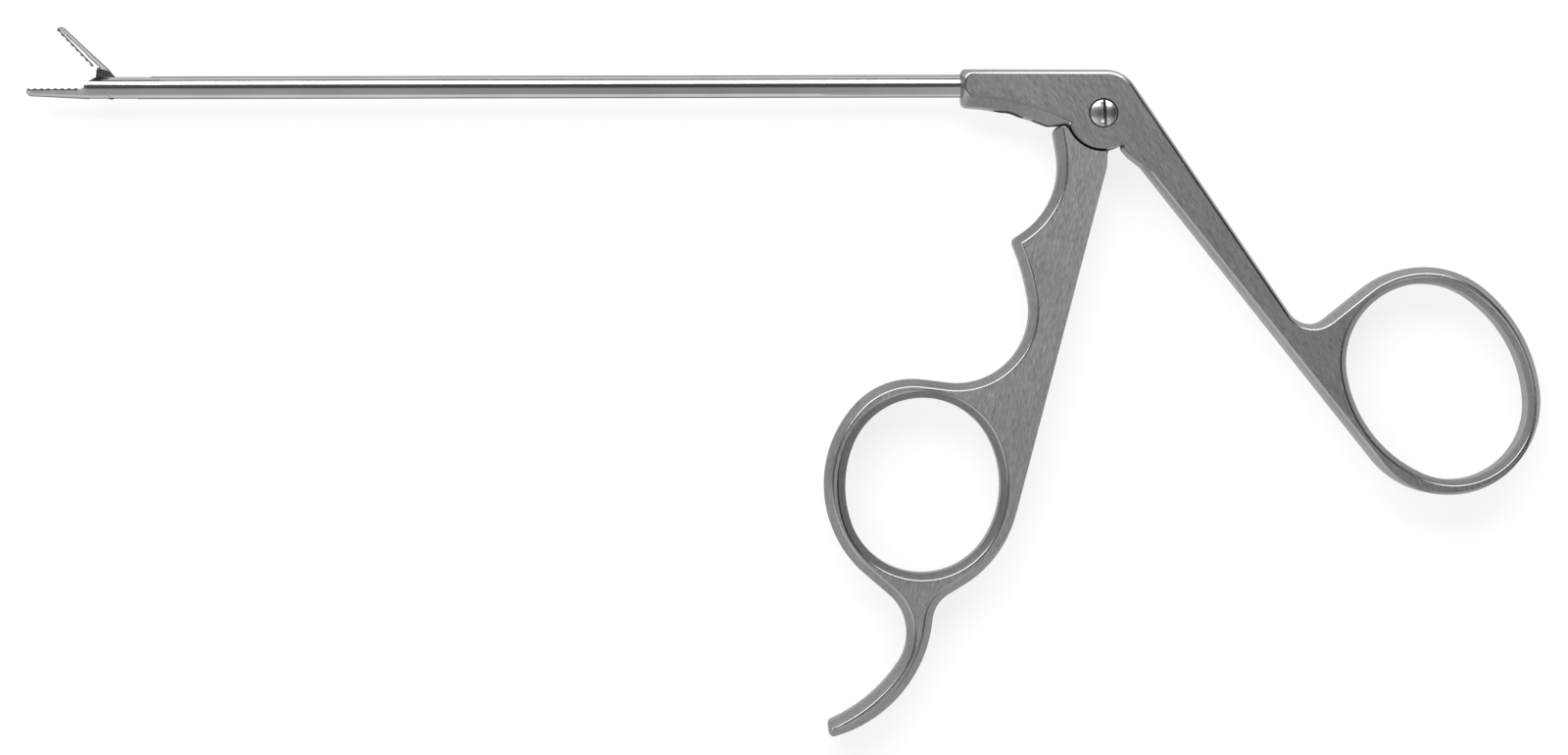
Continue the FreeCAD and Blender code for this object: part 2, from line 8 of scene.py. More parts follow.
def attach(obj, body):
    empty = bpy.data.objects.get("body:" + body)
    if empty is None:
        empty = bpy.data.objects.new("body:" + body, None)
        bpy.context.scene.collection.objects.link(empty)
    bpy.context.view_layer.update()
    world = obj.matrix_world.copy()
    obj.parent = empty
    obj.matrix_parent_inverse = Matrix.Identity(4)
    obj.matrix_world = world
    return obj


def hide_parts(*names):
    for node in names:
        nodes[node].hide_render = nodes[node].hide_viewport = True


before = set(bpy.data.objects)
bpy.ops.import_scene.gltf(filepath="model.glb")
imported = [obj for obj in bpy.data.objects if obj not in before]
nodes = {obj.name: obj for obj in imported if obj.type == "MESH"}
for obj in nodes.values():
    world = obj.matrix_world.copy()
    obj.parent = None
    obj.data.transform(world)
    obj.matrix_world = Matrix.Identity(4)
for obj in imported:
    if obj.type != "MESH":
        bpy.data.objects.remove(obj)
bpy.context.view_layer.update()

# Sizes are in millimetres until a piece is finished, in the CAD frame: X along the shaft, Y up and Z towards
# the screw head.
MM = 0.001
HALF = 3.2
PIVOT = (19.73, -3.96)
THUMB = (66.2, -41.54)
FINGER = (-5.47, -55.59)
TUBE_RADIUS = 1.575
TUBE_START = -111.5
JAW_PIVOT = (-118.5, -0.9)
JAW_OPENING = 46.0
TUBE_SEAT_RADIUS = 1.35
TUBE_SEAT_DEPTH = 9.2
TUBE_BORE = 1.15
TONGUE_HALF = 1.475
SLOT_HALF = 1.525
SLOT_FRONT, SLOT_REAR = 10.0, 22.48
SLOT_LOW, SLOT_ROOF = -10.04, 1.52
SLOT_CORNER = (20.07, -2.693)
SLOT_CORNER_RADIUS = 4.21
SEAT_OF_HEAD = 2.1
SET_SCREW_X = 6.5
SET_SCREW_BORE = 1.16
COUNTERSINK = 2.6
COUNTERBORE = 2.05
HUB_BORE = 1.30
SHOULDER_RADIUS = 1.25
THREAD_RADIUS = 1.0
CLEARANCE = 0.01
BEVEL_DROP, OPENING_DROP = 1.2, 1.1
HALF_HANDLE_ANGLE = 7.601

# How finely round forms are drawn, and the angle in degrees under which an edge is shaded smooth
ARC_STEP = math.radians(4)
BORE_STEPS, SMALL_BORE_STEPS, TURNED_STEPS = 64, 48, 128
SMOOTH_UNDER = 40

# Outlines: the smallest corner, the bevel width from which the rim has its full extras, and the sine of the
# angle under which two sides count as one line
SMALLEST = 0.03
FULL_RIM_WIDTH = 0.4
ONE_LINE = 0.08

# Material slots of the handles
FLAT, EDGE, BEVEL, DRILLED = 0, 1, 2, 3

# Loops from the flat side down to the wall: the share of the bevel's width that they stand in and a fixed
# extra, then the share of the bevel's drop and a fixed extra. The first band stays flat.
RIM = ((1.0, 0.28, 0.0, 0.0), (1.0, 0.25, 0.0, 0.0), (1.0, 0.1, 0.0, 0.04), (1.0, -0.06, 0.0, 0.13),
       (0.06, 0.0, 0.94, 0.0), (0.0, 0.0, 1.1, 0.0))
EDGE_BANDS = 3


# Outlines of tangent arcs and lines
def meet(a, ra, b, rb, side):
    """Where two circles cross, left of the line from a to b for side 1."""
    run = b - a
    apart = run.length
    along = (apart * apart + ra * ra - rb * rb) / (2 * apart)
    away = math.sqrt(max(ra * ra - along * along, 0))
    unit = run / apart
    return a + unit * along + Vector((-unit.y, unit.x)) * (side * away)


def sweep_between(centre, start, end, turn):
    """The angle from start to end about a centre, positive where the turn is."""
    first = math.atan2(start.y - centre.y, start.x - centre.x)
    sweep = math.atan2(end.y - centre.y, end.x - centre.x) - first
    if turn > 0 and sweep <= 0:
        sweep += 2 * math.pi
    if turn < 0 and sweep >= 0:
        sweep -= 2 * math.pi
    return sweep


def tangents(centres, radii, links):
    """Where each turn is reached and left, and the centre of each curved link."""
    count = len(centres)
    leave, arrive, middles = [None] * count, [None] * count, [None] * count
    for i in range(count):
        j = (i + 1) % count
        if links[i] is None:
            run = centres[j] - centres[i]
            ratio = max(-1.0, min(1.0, (radii[j] - radii[i]) / run.length))
            angle = math.atan2(run.y, run.x) - math.asin(ratio)
            left = Vector((-math.sin(angle), math.cos(angle)))
            leave[i] = centres[i] - left * radii[i]
            arrive[j] = centres[j] - left * radii[j]
        else:
            link = links[i]
            side = 1 if link > 0 else -1
            middle = meet(centres[i], abs(link - radii[i]), centres[j], abs(link - radii[j]), side)
            leave[i] = centres[i] - (middle - centres[i]) * (radii[i] / (link - radii[i]))
            arrive[j] = centres[j] - (middle - centres[j]) * (radii[j] / (link - radii[j]))
            middles[i] = middle
    return leave, arrive, middles


def outward(centres, radii, links, leave, arrive, i):
    """The outward directions where turn i is reached and left."""
    count = len(centres)
    before = (i - 1) % count
    result = []
    for near, other, link_at in ((arrive, before, before), (leave, (i + 1) % count, i)):
        if links[link_at] is None:
            start, end = (leave[before], arrive[i]) if link_at == before else (leave[i], arrive[other])
            run = (end - start).normalized()
            if run.length < 0.5:
                run = Vector((1, 0))
            result.append(Vector((run.y, -run.x)))
        else:
            result.append((near[i] - centres[i]).normalized() * (1 if radii[i] > 0 else -1))
    return result


def stepped_in(turns, share, extra, hole):
    """The centres, radii and links of the outline, moved in from its edge by each side's own bevel width."""
    count = len(turns)
    centres = [Vector(turn[:2]) for turn in turns]
    radii = [turn[2] for turn in turns]
    links = [turn[3] for turn in turns]
    sign = -1 if hole else 1
    widths = [sign * (share * turn[4] + extra * min(1.0, turn[4] / FULL_RIM_WIDTH)) for turn in turns]
    leave, arrive, _ = tangents(centres, radii, links)
    new_centres, new_radii = [], []
    for i in range(count):
        before, after = widths[i - 1], widths[i]
        n1, n2 = outward(centres, radii, links, leave, arrive, i)
        if radii[i] >= 0:
            least = turns[i][5] * share if len(turns[i]) > 5 else SMALLEST
            radius = max(least, radii[i] - max(before, after)) if share else radii[i]
        else:
            radius = radii[i] - (before + after) / 2
        d1, d2 = radii[i] - before - radius, radii[i] - after - radius
        cross = n1.x * n2.y - n1.y * n2.x
        if abs(cross) < ONE_LINE:
            shift = (n1 + n2).normalized() * ((d1 + d2) / 2)
        else:
            shift = Vector(((d1 * n2.y - d2 * n1.y) / cross, (d2 * n1.x - d1 * n2.x) / cross))
        new_centres.append(centres[i] + shift)
        new_radii.append(radius)
    new_links = [None if links[i] is None else links[i] - widths[i] for i in range(count)]
    return new_centres, new_radii, new_links


def sweeps(centres, radii, links, near=None):
    """The angles of all turns and links, each within half a turn of the ones in near, and what tangents
    gives."""
    leave, arrive, middles = tangents(centres, radii, links)
    count = len(centres)
    turn_sweeps, link_sweeps = [], []
    for i in range(count):
        j = (i + 1) % count
        turn = sweep_between(centres[i], arrive[i], leave[i], radii[i]) if abs(radii[i]) > 1e-6 else 0
        link = sweep_between(middles[i], leave[i], arrive[j], links[i]) if middles[i] is not None else 0
        turn_sweeps.append(turn)
        link_sweeps.append(link)
    if near:
        for mine, base in ((turn_sweeps, near[0]), (link_sweeps, near[1])):
            for i in range(count):
                while mine[i] - base[i] > math.pi:
                    mine[i] -= 2 * math.pi
                while mine[i] - base[i] < -math.pi:
                    mine[i] += 2 * math.pi
    return turn_sweeps, link_sweeps, leave, arrive, middles


def drawn(bm, turns, share, extra, z, hole=False):
    """Draws the outline at one height with spins and extrusions, and gives its edges."""
    base_centres = [Vector(turn[:2]) for turn in turns]
    base = sweeps(base_centres, [turn[2] for turn in turns], [turn[3] for turn in turns])
    centres, radii, links = stepped_in(turns, share, extra, hole)
    turn_sweeps, link_sweeps, leave, arrive, middles = sweeps(centres, radii, links, base)
    first = arrive[0]
    start = bmesh.ops.create_vert(bm, co=(first.x, first.y, z))["vert"][0]
    here = start
    made = set()

    def swing(centre, angle, steps):
        nonlocal here
        out = bmesh.ops.spin(bm, geom=[here], cent=(centre.x, centre.y, z), axis=(0, 0, 1), angle=angle,
                             steps=steps)
        here = [item for item in out["geom_last"] if isinstance(item, bmesh.types.BMVert)][0]

    def run(to):
        nonlocal here
        out = bmesh.ops.extrude_vert_indiv(bm, verts=[here])
        here = out["verts"][0]
        here.co = (to.x, to.y, z)

    count = len(turns)
    for i in range(count):
        j = (i + 1) % count
        swing(centres[i], turn_sweeps[i], max(1, math.ceil(abs(base[0][i]) / ARC_STEP)))
        here.co = (leave[i].x, leave[i].y, z)
        if middles[i] is None:
            run(arrive[j])
        else:
            swing(middles[i], link_sweeps[i], max(2, math.ceil(abs(base[1][i]) / ARC_STEP)))
            here.co = (arrive[j].x, arrive[j].y, z)
    bmesh.ops.weld_verts(bm, targetmap={here: start})
    edge = start.link_edges[0]
    vert = start
    while edge not in made:
        made.add(edge)
        vert = edge.other_vert(vert)
        edge = [other for other in vert.link_edges if other not in made] or [edge]
        edge = edge[0]
    return list(made)


def walled(bm, turns, drop, hole=False):
    """The bevelled wall of an outline from one flat side to the other. Gives the loops at both ends."""
    heights = [(share, extra, HALF - low * drop - more) for share, extra, low, more in RIM]
    heights += [(share, extra, -z) for share, extra, z in reversed(heights)]
    loops = [drawn(bm, turns, share, extra, z, hole) for share, extra, z in heights]
    last = len(loops) - 2
    for band, (upper, lower) in enumerate(zip(loops, loops[1:])):
        made = bmesh.ops.bridge_loops(bm, edges=upper + lower)["faces"]
        from_side = min(band, last - band)
        finish = FLAT if from_side == 0 else EDGE if from_side < EDGE_BANDS else BEVEL
        for face in made:
            face.material_index = finish
    return loops[0], loops[-1]


def finished(name, bm, body, materials, replaces=(), smooth=SMOOTH_UNDER):
    """Makes the mesh a piece in metres that rides on a CAD body."""
    bmesh.ops.recalc_face_normals(bm, faces=bm.faces[:])
    bmesh.ops.scale(bm, vec=(MM, MM, MM), verts=bm.verts[:])
    mesh = bpy.data.meshes.new(name)
    bm.to_mesh(mesh)
    bm.free()
    piece = bpy.data.objects.new(name, mesh)
    bpy.context.scene.collection.objects.link(piece)
    for material in materials:
        mesh.materials.append(material)
    mesh.polygons.foreach_set("use_smooth", [True] * len(mesh.polygons))
    mesh.set_sharp_from_angle(angle=math.radians(smooth))
    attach(piece, body)
    for node in replaces:
        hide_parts(node)
    return piece


def weighted(piece):
    """Shades large faces flat and leaves the turn of the light to the small ones between them."""
    modifier = piece.modifiers.new("flat sides stay flat", "WEIGHTED_NORMAL")
    modifier.keep_sharp = True
    modifier.weight = 100


def cutter(bm):
    """Makes the mesh a tool in metres for carve."""
    bmesh.ops.recalc_face_normals(bm, faces=bm.faces[:])
    bmesh.ops.scale(bm, vec=(MM, MM, MM), verts=bm.verts[:])
    mesh = bpy.data.meshes.new("cutter")
    bm.to_mesh(mesh)
    bm.free()
    tool = bpy.data.objects.new("cutter", mesh)
    bpy.context.scene.collection.objects.link(tool)
    return tool


def carve(piece, tools, operation="DIFFERENCE"):
    """Cuts the tools out of the piece, or joins them to it, for good, and removes them."""
    for tool in tools:
        modifier = piece.modifiers.new("cut", "BOOLEAN")
        modifier.operation = operation
        modifier.solver = "EXACT"
        modifier.object = tool
        graph = bpy.context.evaluated_depsgraph_get()
        mesh = bpy.data.meshes.new_from_object(piece.evaluated_get(graph), depsgraph=graph)
        piece.modifiers.clear()
        old = piece.data
        piece.data = mesh
        mesh.name = piece.name
        bpy.data.meshes.remove(old)
        bpy.data.objects.remove(tool)
    piece.data.polygons.foreach_set("use_smooth", [True] * len(piece.data.polygons))
    piece.data.set_sharp_from_angle(angle=math.radians(SMOOTH_UNDER))


def post(x, y, low, high, radius):
    """A round cutter across the thickness."""
    bm = bmesh.new()
    bmesh.ops.create_cone(bm, cap_ends=True, segments=BORE_STEPS, radius1=radius, radius2=radius,
                          depth=high - low, matrix=Matrix.Translation((x, y, (low + high) / 2)))
    return bm


def along(start, end, radius):
    """A round cutter along the shaft."""
    bm = bmesh.new()
    place = Matrix.Translation(((start + end) / 2, 0, 0)) @ Matrix.Rotation(math.pi / 2, 4, "Y")
    bmesh.ops.create_cone(bm, cap_ends=True, segments=BORE_STEPS, radius1=radius, radius2=radius,
                          depth=end - start, matrix=place)
    return bm


def upright(at, low, high, radius, top=None):
    """A round or tapered cutter across the shaft, from below."""
    bm = bmesh.new()
    place = Matrix.Translation((at, (low + high) / 2, 0)) @ Matrix.Rotation(-math.pi / 2, 4, "X")
    bmesh.ops.create_cone(bm, cap_ends=True, segments=SMALL_BORE_STEPS, radius1=radius, radius2=top or radius,
                          depth=high - low, matrix=place)
    return bm


def block(low, high):
    """A block between two corners."""
    bm = bmesh.new()
    middle = [(a + b) / 2 for a, b in zip(low, high)]
    size = [b - a for a, b in zip(low, high)]
    place = Matrix.Translation(middle) @ Matrix.Diagonal((size[0], size[1], size[2], 1))
    bmesh.ops.create_cube(bm, size=1, matrix=place)
    return bm


def lathe(profile):
    """A round shape about the shaft's axis from a closed run of (x, radius) points."""
    bm = bmesh.new()
    here = bmesh.ops.create_vert(bm, co=(profile[0][0], profile[0][1], 0))["vert"][0]
    for x, radius in profile[1:]:
        here = bmesh.ops.extrude_vert_indiv(bm, verts=[here])["verts"][0]
        here.co = (x, radius, 0)
    bmesh.ops.spin(bm, geom=bm.verts[:] + bm.edges[:], cent=(0, 0, 0), axis=(1, 0, 0), angle=2 * math.pi,
                   steps=TURNED_STEPS, use_merge=True)
    bmesh.ops.remove_doubles(bm, verts=bm.verts[:], dist=0.0005)
    return bm


# Shared effects
def shared_group(name, inputs, outputs):
    """An empty node group with its inputs and outputs."""
    tree = bpy.data.node_groups.new(name, "ShaderNodeTree")
    for label, kind, value in inputs:
        made = tree.interface.new_socket(label, in_out="INPUT", socket_type=kind)
        if value is not None:
            made.default_value = value
    for label, kind in outputs:
        tree.interface.new_socket(label, in_out="OUTPUT", socket_type=kind)
    return tree, tree.nodes.new("NodeGroupInput"), tree.nodes.new("NodeGroupOutput")


def math_node(tree, operation, a, b, clamp=False):
    """A Math node on two numbers or sockets."""
    node = tree.nodes.new("ShaderNodeMath")
    node.operation = operation
    node.use_clamp = clamp
    for socket, value in zip(node.inputs, (a, b)):
        if isinstance(value, (int, float)):
            socket.default_value = value
        else:
            tree.links.new(value, socket)
    return node.outputs[0]


def noise(tree, vector, scale, detail):
    """The value of a Noise texture."""
    node = tree.nodes.new("ShaderNodeTexNoise")
    node.inputs["Scale"].default_value = scale
    node.inputs["Detail"].default_value = detail
    node.inputs["Roughness"].default_value = 0.55
    tree.links.new(vector, node.inputs["Vector"])
    return node.outputs["Fac"]


def grinding_grain():
    """Fine parallel scratches of a grinding belt, with a few longer ones, as a value about 0.5."""
    tree, given, result = shared_group("grinding grain", (("Place", "NodeSocketVector", None),
                                                          ("Cloudiness", "NodeSocketFloat", 0.3)),
                                       (("Grain", "NodeSocketFloat"), ("Cloud", "NodeSocketFloat")))
    stretch = tree.nodes.new("ShaderNodeMapping")
    stretch.inputs["Scale"].default_value = (900, 5600, 5600)
    tree.links.new(given.outputs["Place"], stretch.inputs["Vector"])
    fine = noise(tree, stretch.outputs[0], 1.0, 3)
    wide = tree.nodes.new("ShaderNodeMapping")
    wide.inputs["Scale"].default_value = (260, 2400, 2400)
    tree.links.new(given.outputs["Place"], wide.inputs["Vector"])
    broad = noise(tree, wide.outputs[0], 1.0, 2)
    cloud = noise(tree, given.outputs["Place"], 120, 3)
    both = math_node(tree, "ADD", math_node(tree, "MULTIPLY", fine, 0.75),
                     math_node(tree, "MULTIPLY", broad, 0.25))
    tree.links.new(both, result.inputs["Grain"])
    shade = math_node(tree, "MULTIPLY", math_node(tree, "SUBTRACT", cloud, 0.5), given.outputs["Cloudiness"])
    tree.links.new(shade, result.inputs["Cloud"])
    return tree


def edge_wear():
    """Where edges stick out, from the surface's pointiness: 0 on flats, 1 on worn edges."""
    tree, given, result = shared_group("edge wear", (("Amount", "NodeSocketFloat", 0.5),),
                                       (("Worn", "NodeSocketFloat"),))
    shape = tree.nodes.new("ShaderNodeNewGeometry")
    above = math_node(tree, "SUBTRACT", shape.outputs["Pointiness"], 0.53)
    spread = math_node(tree, "MULTIPLY", above, 9.0, clamp=True)
    tree.links.new(math_node(tree, "MULTIPLY", spread, given.outputs["Amount"], clamp=True),
                   result.inputs["Worn"])
    return tree


GRAIN = grinding_grain()
WEAR = edge_wear()


def steel(name, grey, roughness, grain_turn, grain_bump, tone=0.08, rough_spread=0.12, rim=0.3):
    """Stainless steel ground along a direction, in degrees from the shaft's. The grain moves the grey by tone
    and the roughness by rough_spread, and rim is the tint at grazing angles."""
    material = bpy.data.materials.new(name)
    material.use_nodes = True
    tree = material.node_tree
    shader = tree.nodes["Principled BSDF"]
    shader.inputs["Metallic"].default_value = 1.0
    shader.inputs["Specular Tint"].default_value = (rim, rim, rim, 1)
    place = tree.nodes.new("ShaderNodeTexCoord")
    turn = tree.nodes.new("ShaderNodeMapping")
    turn.vector_type = "TEXTURE"
    turn.inputs["Rotation"].default_value = (0, 0, math.radians(grain_turn))
    tree.links.new(place.outputs["Object"], turn.inputs["Vector"])
    grain = tree.nodes.new("ShaderNodeGroup")
    grain.node_tree = GRAIN
    tree.links.new(turn.outputs[0], grain.inputs["Place"])
    worn = tree.nodes.new("ShaderNodeGroup")
    worn.node_tree = WEAR
    worn.inputs["Amount"].default_value = 0.3
    centred = math_node(tree, "SUBTRACT", grain.outputs["Grain"], 0.5)
    shade = math_node(tree, "ADD", math_node(tree, "MULTIPLY", centred, tone), grain.outputs["Cloud"])
    light = math_node(tree, "ADD", shade, 1.0)
    light = math_node(tree, "ADD", light, math_node(tree, "MULTIPLY", worn.outputs["Worn"], 0.25))
    tint = tree.nodes.new("ShaderNodeMix")
    tint.data_type = "RGBA"
    tint.blend_type = "MULTIPLY"
    tint.inputs["Factor"].default_value = 1.0
    tint.inputs["A"].default_value = (grey, grey, grey, 1)
    shades = tree.nodes.new("ShaderNodeCombineColor")
    for socket in shades.inputs:
        tree.links.new(light, socket)
    tree.links.new(shades.outputs[0], tint.inputs["B"])
    tree.links.new(tint.outputs["Result"], shader.inputs["Base Color"])
    rough = math_node(tree, "ADD", math_node(tree, "MULTIPLY", centred, rough_spread), roughness)
    rubbed = math_node(tree, "MULTIPLY", worn.outputs["Worn"], 0.1)
    rough = math_node(tree, "SUBTRACT", rough, rubbed, clamp=True)
    tree.links.new(rough, shader.inputs["Roughness"])
    bump = tree.nodes.new("ShaderNodeBump")
    bump.inputs["Strength"].default_value = grain_bump
    bump.inputs["Distance"].default_value = 0.00004
    tree.links.new(grain.outputs["Grain"], bump.inputs["Height"])
    tree.links.new(bump.outputs[0], shader.inputs["Normal"])
    return material


REAR_GRAIN, FRONT_GRAIN = -60, 80
# The bevels' greys are set below the flat sides' as painted shade; their satin roughness is the steel's own.
rear_steel = [
    steel("satin flat sides, ground along the rear arm", 0.36, 0.46, REAR_GRAIN, 0.6, tone=1.3,
          rough_spread=0.25),
    steel("rubbed edges of the rear handle", 0.35, 0.2, REAR_GRAIN, 0.1, tone=0.1),
    steel("satin bevels of the rear handle, darkened as painted shade", 0.31, 0.4, REAR_GRAIN, 0.5, tone=1.1, rim=0.85),
    steel("unlit oiled insides of the bores", 0.06, 0.5, 90, 0.2),
]
front_steel = [
    steel("satin flat sides, ground down the front handle", 0.48, 0.46, FRONT_GRAIN, 0.6, tone=1.3,
          rough_spread=0.25),
    steel("rubbed edges of the front handle", 0.35, 0.2, FRONT_GRAIN, 0.1, tone=0.1),
    steel("satin bevels of the front handle, darkened as painted shade", 0.27, 0.4, FRONT_GRAIN, 0.5, tone=1.1, rim=0.85),
]
tube_steel = [steel("polished shaft steel", 0.5, 0.1, 0, 0.04, tone=0.03, rough_spread=0.05, rim=0.0)]
JAW_STEEL = dict(grey=0.47, roughness=0.14, grain_turn=0, grain_bump=0.06, tone=0.05, rough_spread=0.06,
                 rim=0.0)


def steel_with_painted_tooth_shade(name, along_back, tips, depth, rear_end):
    """Polished jaw steel, matt to a depth from the tooth tips, where the teeth's colour is also set dark as
    painted shade. along_back points from the teeth to the jaw's back, and tips is where they stand along it."""
    material = steel(name, **JAW_STEEL)
    tree = material.node_tree
    shader = tree.nodes["Principled BSDF"]
    place = [node for node in tree.nodes if node.type == "TEX_COORD"][0]
    across = tree.nodes.new("ShaderNodeVectorMath")
    across.operation = "DOT_PRODUCT"
    across.inputs[1].default_value = along_back
    tree.links.new(place.outputs["Object"], across.inputs[0])
    fade = tree.nodes.new("ShaderNodeMapRange")
    fade.interpolation_type = "SMOOTHSTEP"
    fade.inputs["From Min"].default_value = (tips + depth - 0.06) * MM
    fade.inputs["From Max"].default_value = (tips + depth + 0.06) * MM
    tree.links.new(across.outputs["Value"], fade.inputs["Value"])
    ahead = tree.nodes.new("ShaderNodeSeparateXYZ")
    tree.links.new(place.outputs["Object"], ahead.inputs[0])
    behind_teeth = math_node(tree, "GREATER_THAN", ahead.outputs["X"], rear_end * MM)
    outside_tooth_shade = math_node(tree, "MAXIMUM", fade.outputs["Result"], behind_teeth)
    # Painted shade: the tooth zone's colour is set dark, and its roughness is made matt.
    for label, matt in (("Base Color", (0.1, 0.1, 0.1, 1)), ("Roughness", 0.5)):
        source = shader.inputs[label].links[0].from_socket
        blend = tree.nodes.new("ShaderNodeMix")
        blend.data_type = "RGBA" if label == "Base Color" else "FLOAT"
        factor, first, second = [socket for socket in blend.inputs if socket.enabled]
        result = [socket for socket in blend.outputs if socket.enabled][0]
        first.default_value = matt
        tree.links.new(source, second)
        tree.links.new(outside_tooth_shade, factor)
        tree.links.new(result, shader.inputs[label])
    return material


# The tooth tips lie about this far below the shaft's axis, those of the moving jaw when it is shut.
MOVING_TIPS_DROP, FIXED_TIPS_DROP = 0.05, 0.1
BACK = Vector((math.sin(math.radians(JAW_OPENING)), math.cos(math.radians(JAW_OPENING)), 0))
MOVING_TIPS = -JAW_PIVOT[1] - MOVING_TIPS_DROP + BACK.x * JAW_PIVOT[0] + BACK.y * JAW_PIVOT[1]
# Both jaws carry painted shade at their teeth, darkened in colour.
moving_steel = [steel_with_painted_tooth_shade("moving jaw steel, painted shade at the teeth", BACK, MOVING_TIPS, 0.4, -120.6)]
jaw_steel = [steel("pivot pin steel", **JAW_STEEL)]
fixed_steel = [steel_with_painted_tooth_shade("fixed jaw steel, painted shade at the teeth", (0, -1, 0), FIXED_TIPS_DROP, 0.34, -122.9)]
# The second screw material is a painted shadow, dark in colour, for the slot's deeper half.
screw_steel = [steel("turned screw steel", 0.56, 0.24, 20, 0.1, tone=0.05, rough_spread=0.08),
               steel("painted shadow in the deeper half of the screw slot", 0.1, 0.5, 90, 0.2)]


# Handles: each turn is (x, y, radius, radius of the curved link after it, width of the bevel after it), and
# for some the radius that the flat side's corner keeps. x and y are the pivot's from here on.
x, y = PIVOT
rear_turns = [
    (x, y, 5.08, None, 0.08),
    (22.37, -8.393, -0.08, None, 0.08),
    (22.768, -8.731, 0.293, None, 0.08),
    (23.773, -9.604, 0.462, None, 0.08),
    (24.247, -11.882, -1.045, None, 0.42),
    (THUMB[0] + 1.31, THUMB[1] - 2.54, 12.94, 21.67, 0.8),
    (THUMB[0] - 1.93, THUMB[1] + 2.96, 13.2, None, 0.9),
    (THUMB[0] - 17.69, THUMB[1] + 11.86, -3.59, None, 0.45),
    (*SLOT_CORNER, 4.811, None, 0.45),
    (0.591, 1.576, 0.647, None, 0.5, 1.3),
    (0.884, -2.093, 0.869, -34.147, 1.35, 1.1),
    (12.315, -4.64, 0.974, None, 0.08),
    (14.806, -5.57, -0.1, None, 0.08),
]
thumb_opening = [
    (THUMB[0] - 1.84, THUMB[1] + 2.95, 10.95, 18.08, 0.75),
    (THUMB[0] + 2.05, THUMB[1] - 2.98, 10.4, 18.53, 0.75),
]
front_turns = [
    (x, y, -5.22, None, 0.08),
    (14.776, -5.98, 0.1, None, 0.12),
    (13.734, -6.556, 0.813, None, 1.1),
    (2.39, -11.176, -11.127, None, 1.1),
    (7.979, -21.802, 0.817, -32.401, 1.0),
    (-0.599, -31.284, -10.095, None, 1.0),
    (-6.782, -51.624, 10.853, 16.454, 1.15),
    (-5.094, -57.54, 13.285, None, 1.1),
    (-15.01, -76.251, -7.367, -21.949, 1.0),
    (-17.988, -88.84, 0.697, None, 0.5),
    (-17.833, -89.68, 0.739, 18.807, 1.0),
    (-19.667, -73.178, 15.579, None, 1.0),
    (0.526, -74.672, -4.621, None, 1.0),
    (-8.152, -55.585, 16.198, None, 0.08),
    (19.065, -11.24, 1.192, None, 0.08),
    (20.224, -9.236, 0.07, None, 0.08),
]
finger_opening = [
    (FINGER[0] + 0.05, FINGER[1] + 1.79, 10.39, 15.39, 0.95),
    (FINGER[0] - 0.05, FINGER[1] - 1.79, 10.37, 13.99, 0.95),
]


def handle(turns, opening):
    """A bevelled plate of an outline with a ring opening."""
    bm = bmesh.new()
    top, bottom = walled(bm, turns, BEVEL_DROP)
    hole_top, hole_bottom = walled(bm, opening, OPENING_DROP, hole=True)
    for edges in (top + hole_top, bottom + hole_bottom):
        bmesh.ops.triangle_fill(bm, use_beauty=True, edges=edges)
    return bm


rear = finished("rear_handle_dressed", handle(rear_turns, thumb_opening), "grip", rear_steel,
                replaces=("rear_handle",))
front = finished("front_handle_dressed", handle(front_turns, finger_opening), "lever", front_steel,
                 replaces=("front_handle",))


def tongue():
    """The thinner hub plate of the front handle, which enters the housing."""
    bm = bmesh.new()
    web = [(x, y, 2.5, None, 0), (x - 4.0, y - 3.3, 0.8, None, 0), (x - 0.4, y - 6.2, 0.8, None, 0)]
    upper = drawn(bm, web, 0, 0, TONGUE_HALF)
    lower = drawn(bm, web, 0, 0, -TONGUE_HALF)
    bmesh.ops.bridge_loops(bm, edges=upper + lower)
    for edges in (upper, lower):
        bmesh.ops.triangle_fill(bm, use_beauty=True, edges=edges)
    return bm


def forked_finger():
    """The finger that holds the yoke's cross pin, drawn upright and then turned about the pivot."""
    bm = bmesh.new()
    side, notch, tip, notch_floor, half_thick = 1.3, 0.54, 0.9, -0.27, 0.6
    corners = [(x - side, y), (x + side, y), (x + side, tip), (x + notch, tip), (x + notch, notch_floor)]
    start = bmesh.ops.create_vert(bm, co=(*corners[0], -half_thick))["vert"][0]
    here = start
    for corner in corners[1:]:
        here = bmesh.ops.extrude_vert_indiv(bm, verts=[here])["verts"][0]
        here.co = (*corner, -half_thick)
    out = bmesh.ops.spin(bm, geom=[here], cent=(x, notch_floor, -half_thick), axis=(0, 0, -1), angle=math.pi,
                         steps=16)
    here = [item for item in out["geom_last"] if isinstance(item, bmesh.types.BMVert)][0]
    for corner in ((x - notch, tip), (x - side, tip)):
        here = bmesh.ops.extrude_vert_indiv(bm, verts=[here])["verts"][0]
        here.co = (*corner, -half_thick)
    bm.edges.new((here, start))
    bmesh.ops.triangle_fill(bm, use_beauty=True, edges=bm.edges[:])
    out = bmesh.ops.extrude_face_region(bm, geom=bm.faces[:])
    raised = [item for item in out["geom"] if isinstance(item, bmesh.types.BMVert)]
    bmesh.ops.translate(bm, verts=raised, vec=(0, 0, 2 * half_thick))
    lean = Matrix.Rotation(math.radians(-HALF_HANDLE_ANGLE), 3, "Z")
    bmesh.ops.rotate(bm, cent=(x, y, 0), matrix=lean, verts=bm.verts[:])
    return bm


carve(front, [cutter(tongue()), cutter(forked_finger())], "UNION")
carve(front, [cutter(post(x, y, -4.0, 4.0, HUB_BORE))])

